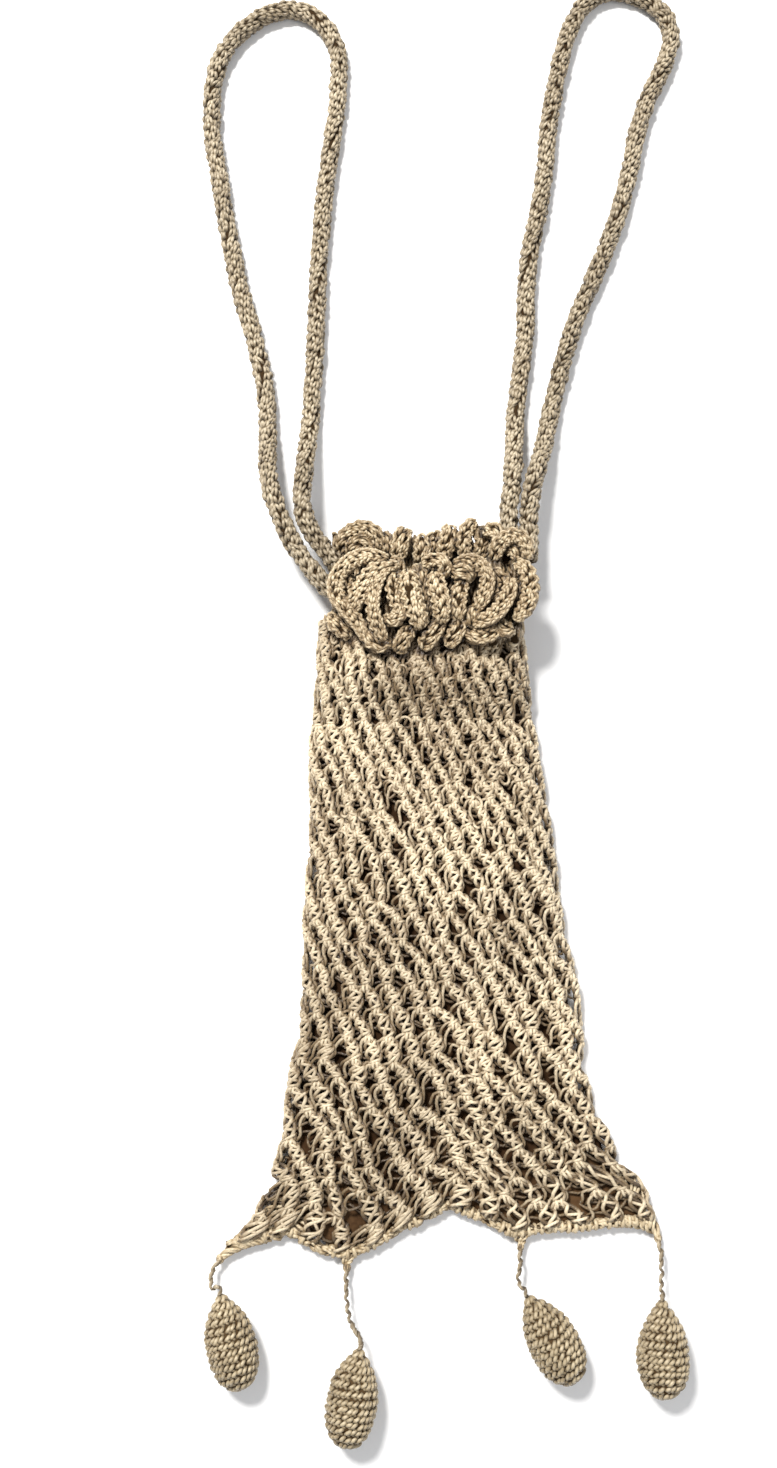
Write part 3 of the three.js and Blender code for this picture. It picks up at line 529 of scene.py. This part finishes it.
spin(T, [(-33.0, -84.0, 1.6), (-41.0, -85.6, 1.9), (-48.0, -87.6, 1.3), (-53.0, -90.0, 0.8), (-55.6, -92.0, 0.3)], 0.9, 0.44, 7.5, 5, 52)
spin(T, [(47.0, -70.5, 1.5), (51.5, -75.5, 1.9), (54.5, -80.5, 1.6), (56.6, -84.5, 1.0), (57.6, -87.8, 0.3)], 0.9, 0.44, 8.0, 5, 53)
spin(T, [(48.0, -83.6, 1.2), (52.0, -84.0, 1.3), (55.0, -85.0, 1.0), (57.6, -87.8, 0.3)], 0.8, 0.42, 6.0, 4, 54)
for kx, ky, sd in ((-22.9, -94.4, 55), (22.0, -89.8, 56)):
    for dx in (-1.8, 0.2, 2.0):
        spin(T, [(kx + dx, ky + 4.2, 0.4), (kx + 0.5 * dx, ky + 2.0, 0.4), (kx, ky, 0.25)], 0.4, 0.36, 3.0, 2, sd + int(10 * dx))
ties = T.mesh("hem_ties", M_EDGE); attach(ties, "pouch")

# ------------------------------------------------------------------ collar
def ribbon(n_fold, x0, x1, z0, amp, q, ylow, yhigh, seed, curl=2.5, bow=2.5, na=420, nb=26, flip=1.0):
    """Pleated band: a runs along the band, b across it. Returns a surface table and the band's length."""
    rng = np.random.default_rng(seed)
    th = np.linspace(0, 2 * np.pi * n_fold, na)
    k = th / (2 * np.pi)
    # folds of unequal width and height
    wid = np.interp(k, np.arange(n_fold + 1), np.cumsum(np.concatenate([[0], rng.uniform(0.75, 1.3, n_fold)])))
    wid = wid / wid[-1]
    a1, a2, a3 = (np.interp(k, np.arange(n_fold + 1), rng.uniform(-1, 1, n_fold + 1)) for _ in range(3))
    rows = []
    for b in np.linspace(0, 1, nb):
        e = abs(2 * b - 1)
        A = amp * (1 + 0.18 * a1) * (1 - 0.30 * e ** 3)
        side = 2 * wid - 1
        x = x0 + (x1 - x0) * wid + q * np.sin(2 * th) + bow * side * np.abs(side) * (1 - e ** 2) + 0.9 * a2 * (b - 0.5) * 2
        z = z0 + A * np.cos(th) - curl * e ** 4 - 1.6 * np.abs(side) ** 3
        lo = ylow + 1.6 * a3 - 1.6 * np.cos(th); hi = yhigh + 1.5 * a2 + 1.8 * np.cos(th)
        rows.append(np.column_stack([x, lo + (hi - lo) * b, z]))
    P = np.array(rows)
    length = np.linalg.norm(np.diff(P[nb // 2], axis=0), axis=1).sum()
    return P, length

def close_band(name, P, thick, material):
    """A closed slab of that thickness round the surface table."""
    S = Surf(P, False); nb, na = P.shape[:2]
    top, bot = P + S.N * thick / 2, P - S.N * thick / 2
    V = np.concatenate([top.reshape(-1, 3), bot.reshape(-1, 3)]); n = nb * na
    F = []
    for j in range(nb - 1):
        for i in range(na - 1):
            a = j * na + i
            F.append((a, a + 1, a + na + 1, a + na)); F.append((n + a, n + a + na, n + a + na + 1, n + a + 1))
    for i in range(na - 1):
        F.append((i, n + i, n + i + 1, i + 1)); a = (nb - 1) * na + i; F.append((a, a + 1, n + a + 1, n + a))
    for j in range(nb - 1):
        a = j * na; F.append((a, a + na, n + a + na, n + a)); a = j * na + na - 1; F.append((a, n + a, n + a + na, a + na))
    return plain_mesh(name, V, F, material, depth=0.3)

def dense(T, P, length, width, thick, sides_=(1.0, -1.0), col=1.75, row=2.5, seed=5, strand=0.47, edge=True, dark=0.0):
    """Close crochet over a band: V stitches whose columns cross the band, on both faces."""
    rng = np.random.default_rng(seed)
    S = Surf(P, False)
    seg = np.concatenate([[0], np.cumsum(np.linalg.norm(np.diff(P[P.shape[0] // 2], axis=0), axis=1))]); seg /= seg[-1]
    grid = np.linspace(0, 1, P.shape[1])
    nc, nr = int(length / col), int(width / row)
    for sg in sides_:
        I, J = np.meshgrid(np.arange(nc), np.arange(nr), indexing="ij"); I, J = I.ravel(), J.ravel()
        a0 = (I + 0.5 + 0.12 * rng.normal(size=len(I))) / nc; b0 = (J + 0.02 + 0.4 * (I % 2) + 0.14 * rng.normal(size=len(I))) / nr
        tone = rng.random(len(I)); t = np.linspace(0, 1, 6)
        for lean, hh, r in ((0.42, 0.0, 1.0), (-0.42, -0.1, 0.9)):
            a = a0[:, None] + (lean * (1.0 - 0.95 * t))[None] / nc
            b = b0[:, None] + (-0.12 + 1.30 * t)[None] / nr
            h = (thick / 2 - 0.25 + 0.42 * np.sin(np.pi * t ** 0.8))[None] + hh + 0.08 * rng.normal(size=(len(I), 1))
            Pn = S.where(np.interp(a, seg, grid), b, h * sg)
            # painted shade: stitch ends sink dark and dark darkens the whole band
            T.add(Pn, strand * r, 6, depth=np.clip(0.25 + 0.75 * np.sin(np.pi * t ** 0.8) - dark, 0, 1)[None], tone=tone)
    if edge:
        for b_ in (0.0, 1.0):  # looped edge of the band
            n = int(length / 1.9); a0 = (np.arange(n) + 0.5) / n; t = np.linspace(0, 1, 7)
            a = a0[:, None] + (-0.55 + 1.2 * t)[None] / n; out = (0.9 if b_ else -0.9)
            h = (thick / 2 + 0.1) * np.cos(np.pi * t)[None] + 0 * a
            base = S.where(np.interp(a, seg, grid), np.full_like(a, b_), h)
            dirv = unit(S.where(np.interp(a, seg, grid), np.full_like(a, b_), h) - S.where(np.interp(a, seg, grid), np.full_like(a, 1 - b_) * 0.5 + 0.25, h))
            T.add(base + dirv * (0.75 * np.sin(np.pi * t))[None, :, None], strand * 1.05, 6, depth=(0.4 + 0.6 * np.sin(np.pi * t))[None], tone=0.3 + 0.7 * rng.random(n))

# the pleats' thick edges: [x, y] along each roll, height and radius
ROLLS = {
    "f1a": ([[-10.4, 90.3], [-15.9, 90.9], [-21.0, 89.0], [-24.2, 84.7], [-24.3, 79.8], [-21.4, 75.5], [-18.4, 71.9], [-16.9, 68.3]], 19.6, 2.5),
    "f1b": ([[-10.9, 88.3], [-14.5, 85.9], [-17.3, 81.7], [-19.5, 78.0], [-20.4, 74.5]], 20.0, 2.9),
    "f1c": ([[-21.4, 85.4], [-22.2, 81.9], [-20.8, 79.2]], 18.2, 2.7),
    "f2a": ([[-7.8, 88.6], [-11.6, 86.6], [-14.0, 82.2], [-14.6, 77.0], [-13.7, 71.9], [-11.6, 67.7]], 20.6, 2.1),
    "f2b": ([[-7.8, 86.9], [-9.2, 83.0], [-8.4, 78.8], [-7.3, 75.0], [-9.3, 72.8], [-11.7, 74.0]], 20.2, 2.2),
    "f3": ([[-5.1, 86.5], [-4.8, 81.5], [-3.5, 76.3], [-1.7, 70.9]], 20.4, 3.2),
    "f4a": ([[-2.4, 88.4], [-1.4, 84.9], [-0.6, 80.1], [0.1, 74.5]], 19.2, 1.9),
    "f4b": ([[-1.1, 88.7], [2.5, 89.3], [4.5, 88.0], [4.6, 84.9]], 20.4, 2.0),
    "f4c": ([[2.1, 86.0], [2.6, 81.5], [3.8, 77.0], [3.6, 72.2]], 20.2, 2.9),
    "f5a": ([[6.9, 85.9], [9.8, 85.8], [12.1, 84.3]], 20.4, 2.3),
    "f5b": ([[9.8, 83.9], [8.4, 79.7], [8.1, 75.6], [7.8, 73.2]], 20.0, 2.4),
    "f6": ([[7.4, 88.5], [11.5, 89.0], [15.0, 86.8], [16.2, 83.0], [15.0, 78.9], [12.6, 75.6]], 20.4, 2.2),
    "f6b": ([[12.7, 76.0], [12.0, 74.1], [12.6, 71.7]], 19.0, 2.3),
    "f7a": ([[22.3, 84.2], [21.9, 80.2], [19.6, 76.1], [16.0, 73.0], [12.3, 71.7]], 20.4, 2.3),
    "f7b": ([[16.4, 86.8], [18.9, 85.2], [20.4, 82.4], [18.8, 79.3], [15.7, 76.5]], 18.8, 2.2),
    "f8": ([[24.0, 89.1], [26.6, 86.0], [27.7, 81.4], [26.4, 76.9], [23.6, 73.2]], 19.4, 2.6),
    "f8b": ([[25.0, 84.3], [24.8, 80.1], [23.6, 76.7]], 18.0, 2.4),
    "f9": ([[18.2, 90.6], [19.9, 94.8], [23.4, 96.8], [26.7, 94.9], [27.8, 90.8]], 17.2, 2.3),
    "f9b": ([[22.4, 93.8], [24.7, 92.3], [25.3, 89.2]], 15.8, 2.2),
    "b8": ([[16.4, 100.4], [19.4, 99.0], [20.0, 95.8]], 13.0, 2.6),
    "b8b": ([[22.1, 98.9], [20.7, 96.1], [17.9, 93.6]], 13.0, 2.4),
    "g1": ([[-26.9, 75.7], [-24.2, 72.5], [-20.9, 70.0]], 16.0, 2.4),
    "g2": ([[-17.2, 72.3], [-15.6, 68.6], [-12.6, 66.6], [-9.9, 68.0]], 18.0, 2.5),
    "g3": ([[-4.6, 71.6], [-6.4, 68.4], [-8.0, 65.0]], 18.2, 2.6),
    "g4": ([[3.6, 73.0], [1.4, 69.2], [-1.6, 66.0]], 18.4, 2.6),
    "g5": ([[8.2, 74.6], [7.9, 70.4], [5.2, 66.6]], 18.2, 2.5),
    "g6": ([[9.7, 71.4], [12.9, 68.6], [16.6, 69.4], [19.0, 71.6]], 18.0, 2.4),
    "g7": ([[17.8, 73.4], [20.2, 70.6], [22.6, 71.2]], 17.4, 2.4),
    "b1": ([[-23.4, 95.5], [-22.0, 99.4], [-18.1, 101.6], [-14.2, 100.1], [-13.0, 96.1]], 9.6, 2.7),
    "b1b": ([[-21.0, 94.4], [-19.4, 97.1], [-17.0, 97.8], [-14.6, 95.5]], 9.0, 2.9),
    "b2": ([[-11.7, 100.7], [-10.5, 98.3], [-10.4, 94.7]], 9.2, 1.9),
    "b3": ([[-5.3, 101.6], [-6.7, 98.2], [-7.7, 93.6]], 9.4, 2.9),
    "b3b": ([[-9.0, 98.5], [-9.0, 94.4]], 8.8, 2.4),
    "b4": ([[-2.1, 99.9], [-1.0, 96.3], [-1.6, 92.5]], 9.2, 2.5),
    "b5": ([[6.8, 102.6], [6.2, 98.4], [4.7, 93.0]], 9.6, 2.6),
    "b5b": ([[3.2, 99.3], [2.6, 94.7]], 9.0, 2.8),
    "b6": ([[13.9, 103.2], [11.8, 101.6], [10.5, 97.8], [10.9, 93.1]], 10.2, 2.2),
    "b6b": ([[14.6, 101.8], [15.9, 97.9], [15.1, 93.2]], 9.8, 2.5),
    "b7": ([[17.7, 100.6], [17.4, 96.7], [16.5, 92.7]], 9.0, 2.3),
}
def fullness(f):
    e = np.abs(2 * np.clip(f, 0, 1) - 1)
    return 1 - 0.55 * e ** 5
LINES = {}
for nm_, (pts_, z_, r_) in ROLLS.items():
    p_ = np.array(pts_, float); f_ = np.linspace(0, 1, len(p_))
    c_, _ = resample(np.column_stack([p_, z_ - 1.3 * np.abs(2 * f_ - 1) ** 3]), step=0.7)
    LINES[nm_] = (c_, 0.94 * r_ * fullness(np.linspace(0, 1, len(c_))))
def buried(P, name):
    """How far each point lies in the groove beside another roll: 0 free .. 1 sunk."""
    dark = np.zeros(P.shape[:-1])
    for other, (c, r) in LINES.items():
        if other == name: continue
        d = P[..., None, :] - c; dist = np.linalg.norm(d, axis=-1) - r; k = dist.argmin(-1)
        near = np.take_along_axis(dist, k[..., None], -1)[..., 0]
        above = (P[..., 2] - c[k][..., 2]) / r[k]
        dark = np.maximum(dark, smooth(1.5, -0.1, near) * smooth(1.05, 0.35, above))
    return dark
def roll(name, T, body, cores):
    pts, z, r = ROLLS[name]; seed = sum(map(ord, name)); r = r * 0.94
    p = np.array(pts, float); k = len(p); f = np.linspace(0, 1, k)
    path = np.column_stack([p, z - 1.3 * np.abs(2 * f - 1) ** 3])
    first = len(T.dep)
    P, ln = crochet_cord(T, path, r, around=max(6, int(round(2 * np.pi * r / 1.62))), pitch=1.85, seed=seed, strand=0.40, shape=fullness, messy=1.0, shade=0.95)
    # two edge chains that run along the fold
    rng = np.random.default_rng(seed + 5); Q, _ = resample(path, step=0.55); tan = unit(np.gradient(Q, axis=0)); s_ = np.linspace(0, ln, len(Q))
    up = unit(np.array([0, 0, 1.0]) - tan[:, 2:3] * tan); side = np.cross(tan, up); rr = r * fullness(s_ / ln)
    for sg in (-1.0, 1.0):
        phi = sg * (0.80 + 0.20 * np.sin(2 * np.pi * s_ / 2.1 + rng.uniform(0, 6)) + 0.10 * np.sin(s_ * 0.5 + rng.uniform(0, 6)))
        for q in (0, 1):
            ph2 = phi + (q - 0.5) * 0.55 / r * (1 + 0.8 * np.sin(2 * np.pi * s_ / 2.1 + np.pi * q))
            h = rr + 0.02 + 0.20 * np.sin(2 * np.pi * s_ / 2.1 + np.pi * q)
            T.add((Q + (h * np.cos(ph2))[:, None] * up + (h * np.sin(ph2))[:, None] * side)[None], 0.36, 6, depth=(0.62 + 0.30 * np.sin(2 * np.pi * s_ / 2.1 + np.pi * q))[None], tone=0.5 + 0.5 * rng.random(1))
    # painted shade: darken what lies in the grooves
    at_ = sum(len(x) for x in T.dep[:first]); V_ = np.concatenate(T.V)[at_:]
    d_ = np.concatenate(T.dep[first:]) - 0.85 * buried(V_, name)
    T.dep[first:] = [np.clip(d_, 0, 1)]
    Pc, _ = resample(path, n=max(7, int(ln / 1.5)))
    ff = np.linspace(0, 1, len(Pc)); R = np.maximum(r * fullness(ff) - 0.7, 0.3); R[0] = R[-1] = 0.35
    o = tube_mesh(f"fold_{name}", Pc, R, 12, M_CORE, depth=0.3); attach(o, body); cores.append(o)
fronts, backs = [], []
T = Threads()
for nm in [k for k in ROLLS if k[0] in "fg" and ROLLS[k][0][0][0] < 2]: roll(nm, T, "front_collar", fronts)
o = T.mesh("front_folds_left_stitches", M_RUF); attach(o, "front_collar")
T = Threads()
for nm in [k for k in ROLLS if k[0] in "fg" and ROLLS[k][0][0][0] >= 2]: roll(nm, T, "front_collar", fronts)
o = T.mesh("front_folds_right_stitches", M_RUF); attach(o, "front_collar")
T = Threads()
for nm in [k for k in ROLLS if k[0] == "b"]: roll(nm, T, "pouch", backs)
o = T.mesh("back_folds_stitches", M_RUF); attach(o, "pouch"); back_fold_st = o
# front: the pleated band under its folded edges
Pf, Lf = ribbon(7, -23.5, 24.6, 15.4, 1.5, 0.7, 69.5, 88.0, seed=4, curl=1.2, bow=1.5)
base = close_band("front_ruffle_band", Pf, 1.7, M_CORE)
# painted shade: the front band is painted darker as shade under the folds
T = Threads(); dense(T, Pf, Lf, 18.5, 1.7, sides_=(1.0, -1.0), seed=6, dark=0.45)
stf = T.mesh("front_ruffle_stitches", M_RUF)
for o in (base, stf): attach(o, "front_collar")
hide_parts("front_ruffle")
# back: flatter frill whose lobes show above the front one
Pb, Lb = ribbon(7, -26.5, 27.5, 3.7, 1.9, 1.0, 64.0, 99.4, seed=9, curl=0.6, bow=-0.5)
Pb[..., 2] = np.maximum(Pb[..., 2], 1.9)
base = close_band("back_ruffle_band", Pb, 1.5, M_CORE)
# painted shade: the back band is painted a little darker
T = Threads(); dense(T, Pb, Lb, 35.4, 1.5, col=1.85, row=2.75, seed=8, dark=0.2)
stb = T.mesh("back_ruffle_stitches", M_RUF)
for o in (base, stb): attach(o, "pouch")
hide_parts("back_ruffle")
def shade_under(ob, amount):
    """Stitches that lie close under the folds take the grooves' painted shade; the neck net is painted darker all over
    as shade.
    """
    me = ob.data; V_ = np.empty(len(me.vertices) * 3, np.float32); me.vertices.foreach_get("co", V_)
    V_ = V_.reshape(-1, 3) * 1000.0 - np.array([SX, SY, 0.0]); d_ = np.empty(len(V_), np.float32); me.attributes["depth"].data.foreach_get("value", d_)
    near = np.where((V_[:, 1] > 62) & (V_[:, 2] > 5))[0]
    for k in range(0, len(near), 3000):
        q = near[k:k + 3000]; d_[q] -= amount * buried(V_[q], None)
    # painted shade under the collar: the whole neck net is darker
    if ob is NETS["neck_net"]: d_ -= 0.10
    me.attributes["depth"].data.foreach_set("value", np.clip(d_, 0, 1))
for ob_, am_ in ((NETS["neck_net"], 0.9), (stf, 0.7), (stb, 0.7)): shade_under(ob_, am_)
# the drawstring inside the casing
for nm, z, body in (("back_casing", 8.1, "pouch"), ("front_casing", 13.45, "front_collar")):
    T = Threads(); pth = np.array([[-13.5, 79.2, z], [-4, 79.0, z], [4, 79.0, z], [13.5, 79.2, z]])
    crochet_cord(T, pth, 2.45, seed=41)
    st = T.mesh(nm + "_stitches", M_CORD); Pc, _ = resample(pth, step=2.4)
    core = tube_mesh(nm + "_core", Pc, 1.85, 12, M_CORE, depth=0.35)
    for o in (st, core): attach(o, body)
    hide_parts(nm + "_cord")

# ------------------------------------------------------------------ tassels
TASSELS = [
    dict(knot=(-55.6, -92.0), chain=[(-57.6, -95.2), (-57.4, -98.6)], neck=(-54.8, -101.0), dir=(0.229, -0.973), up=1.2),
    dict(knot=(-22.9, -94.4), chain=[(-23.1, -100.0), (-22.2, -106.5)], neck=(-19.7, -113.4), dir=(-0.157, -0.988)),
    dict(knot=(22.0, -89.8), chain=[(21.6, -94.0), (21.0, -98.0)], neck=(23.2, -101.2), dir=(0.485, -0.874)),
    dict(knot=(57.6, -87.8), chain=[(58.0, -92.0), (57.6, -97.0)], neck=(57.3, -102.4), dir=(-0.025, -1.0)),
]
PROFILE = np.array([[0.0, 1.0], [1.6, 2.3], [3.6, 3.8], [6.0, 5.1], [8.8, 6.05], [12.0, 6.5], [14.6, 6.55], [17.2, 6.2], [19.4, 5.45], [21.2, 4.3], [22.4, 2.9], [23.1, 1.4], [23.4, 0.0]])
DROP_Z = 6.56
def prof(t):
    Q = catmull(PROFILE, 200); return np.interp(t, Q[:, 0], Q[:, 1])
for n, tz in enumerate(TASSELS, 1):
    rng = np.random.default_rng(60 + n)
    d = unit(np.array([*tz["dir"], 0.0])); e = np.array([-d[1], d[0], 0.0]); up = np.array([0, 0, 1.0])
    N0 = np.array([*tz["neck"], DROP_Z]) - d * tz.get("up", 0.0)
    # stuffed body under the stitches
    tt = np.linspace(0.35, 22.7, 26); na = 28
    ang = np.arange(na) * 2 * np.pi / na
    lump = lambda t, a: 1 + 0.02 * np.sin(2 * a + n) * np.sin(t * 0.3) + 0.015 * np.sin(3 * a + t * 0.5 + n)
    V = []
    for t in tt:
        r = np.maximum(prof(t) - 0.75, 0.25) * lump(t, ang)
        V.append(N0 + d * (t + 0.35) + np.outer(np.cos(ang) * r, e) + np.outer(np.sin(ang) * r, up))
    V = np.concatenate(V); m = len(tt)
    F = [(j * na + k, (j + 1) * na + k, (j + 1) * na + (k + 1) % na, j * na + (k + 1) % na) for j in range(m - 1) for k in range(na)]
    F += [tuple(range(na)), tuple((m - 1) * na + k for k in range(na))[::-1]]
    body = plain_mesh(f"drop_{n}_body", V, F, M_CORE, depth=1.0)
    T = Threads()
    row = 1.78; t0 = 0.6; rr = 0
    while t0 < 23.0:
        r0 = float(prof(t0)); cnt = max(5, int(round(2 * np.pi * r0 / 1.56)))
        a0 = (np.arange(cnt) + 0.5 * (rr % 2) + 0.3 * rr) * 2 * np.pi / cnt + rng.normal(0, 0.035, cnt)
        tone = rng.random(cnt); w = 2 * np.pi / cnt
        t = np.linspace(0, 1, 6)
        def on(tl, th, h):
            tl = np.clip(tl, 0.1, 23.2); r = np.maximum(prof(tl), 0.3) * lump(tl, th) - 0.5 + h
            return N0 + d * (tl + 0.35)[..., None] + (np.cos(th) * r)[..., None] * e + (np.sin(th) * r)[..., None] * up
        tj = t0 + a0[:, None] * row / (2 * np.pi) * 0 + rng.normal(0, 0.13, (cnt, 1)) + 0.25 * np.sin(a0[:, None] + rr)
        tilt = 1 + 0.22 * rng.normal(size=(cnt, 1)); up_ = 0.06 * rng.normal(size=(cnt, 1))
        # painted shade: the stitches darken towards the underside of the drop, and the under strands are painted dark
        # as shade
        T.add(on(tj + (-0.62 + 1.24 * t)[None] * tilt, a0[:, None] + w * (-0.50 + 1.00 * t)[None], (-0.30 + 0.46 * np.sin(np.pi * t))[None] + up_), 0.49, 6, depth=np.clip((0.25 + 0.70 * np.sin(np.pi * t))[None] - 0.25 * (0.5 - 0.5 * np.sin(a0))[:, None], 0, 1), tone=tone, taper=0.8)
        T.add(on(tj + (0.15 + 0.95 * t)[None], a0[:, None] + w * (0.36 - 0.72 * t)[None], (-0.42 + 0.30 * np.sin(np.pi * t))[None] + up_), 0.38, 6, depth=(0.12 + 0.50 * np.sin(np.pi * t))[None] + 0 * tj, tone=tone * 0.6)
        t0 += row; rr += 1
    st = T.mesh(f"drop_{n}_stitches", M_DROP)
    for o in (body, st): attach(o, f"drop_{n}")
    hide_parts(f"drop_cover_{n}", f"drop_filling_{n}")
    # twisted chain
    K = np.array([*tz["knot"], 2.35])
    mid = [np.array([x, y, 3.0 + (DROP_Z - 3.6) * (i + 1) / 3]) for i, (x, y) in enumerate(tz["chain"])]
    cl = np.array([K, *mid, N0 - d * 2.0, N0 + d * 0.3])
    P, ln = resample(cl, step=0.45)
    _, U, B = frames(P[None]); U, B = U[0], B[0]; s = np.linspace(0, ln, len(P))
    T = Threads()
    for k in range(3):
        ph = 2 * np.pi * (s / (2.3 + 0.25 * k) + k / 3) + 0.7 * np.sin(s * 0.9 + k)
        rad = 0.36 + 0.09 * np.sin(s * 2.3 + k) + (0.16 * np.clip(np.sin(s * 1.15 + 2.1 * k), 0, 1) if k == 2 else 0)
        wig = 0.18 * np.sin(s * 1.1 + n)[:, None] * U
        T.add((P + wig + (np.cos(ph) * rad)[:, None] * U + (np.sin(ph) * rad)[:, None] * B)[None], 0.36, 6, depth=(0.45 + 0.45 * np.sin(ph))[None], tone=0.2 + 0.3 * k)
    ch = T.mesh(f"chain_{n}", M_CORD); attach(ch, f"stem_{n}"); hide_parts(f"stem_chain_{n}")
    # knot: turns of thread wound round in several directions
    T = Threads(); t = np.linspace(0, 2 * np.pi, 22)
    for k in range(6):
        ax = unit(rng.normal(size=3)); a = unit(np.cross(ax, [0.3, 0.5, 0.8])); b = np.cross(ax, a)
        ring = ax * rng.uniform(-0.35, 0.35) + rng.uniform(0.55, 0.85) * (np.cos(t)[:, None] * a + np.sin(t)[:, None] * b)
        T.add((K + ring * np.array([0.9, 1.25, 0.9]))[None], 0.33, 6, depth=(0.5 + 0.4 * np.sin(2 * t + k))[None])
    kn = T.mesh(f"knot_{n}_turns", M_EDGE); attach(kn, f"knot_{n}"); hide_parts(f"anchor_knot_{n}")

# ------------------------------------------------------------------ floor and light
floor_me = bpy.data.meshes.new("floor")
S_ = 2.0
floor_me.from_pydata([(-S_, -S_, -0.0002), (S_, -S_, -0.0002), (S_, S_, -0.0002), (-S_, S_, -0.0002)], [], [(0, 1, 2, 3)])
floor = bpy.data.objects.new("floor", floor_me); bpy.context.scene.collection.objects.link(floor)
fm = bpy.data.materials.new("floor_paper"); fm.use_nodes = True
fm.node_tree.nodes["Principled BSDF"].inputs["Base Color"].default_value = (0.93, 0.93, 0.93, 1)
fm.node_tree.nodes["Principled BSDF"].inputs["Roughness"].default_value = 0.9
floor_me.materials.append(fm)
def area(name, loc, target, size, power, color=(1, 1, 1)):
    ld = bpy.data.lights.new(name, "AREA"); ld.shape = "DISK"; ld.size = size; ld.energy = power; ld.color = color
    lo = bpy.data.objects.new(name, ld); bpy.context.scene.collection.objects.link(lo)
    from mathutils import Vector
    v = Vector(target) - Vector(loc); lo.location = loc; lo.rotation_euler = v.to_track_quat("-Z", "Y").to_euler()
area("key", (-0.38, 0.62, 1.0), (0, 0, 0), 0.32, 25.0, (1.0, 0.985, 0.96))
area("fill", (0.7, -0.4, 1.0), (0, 0, 0), 0.9, 5.0, (0.97, 0.98, 1.0))
w = bpy.data.worlds.new("studio"); bpy.context.scene.world = w; w.use_nodes = True
w.node_tree.nodes["Background"].inputs["Color"].default_value = (0.97, 0.98, 1.0, 1); w.node_tree.nodes["Background"].inputs["Strength"].default_value = 0.40
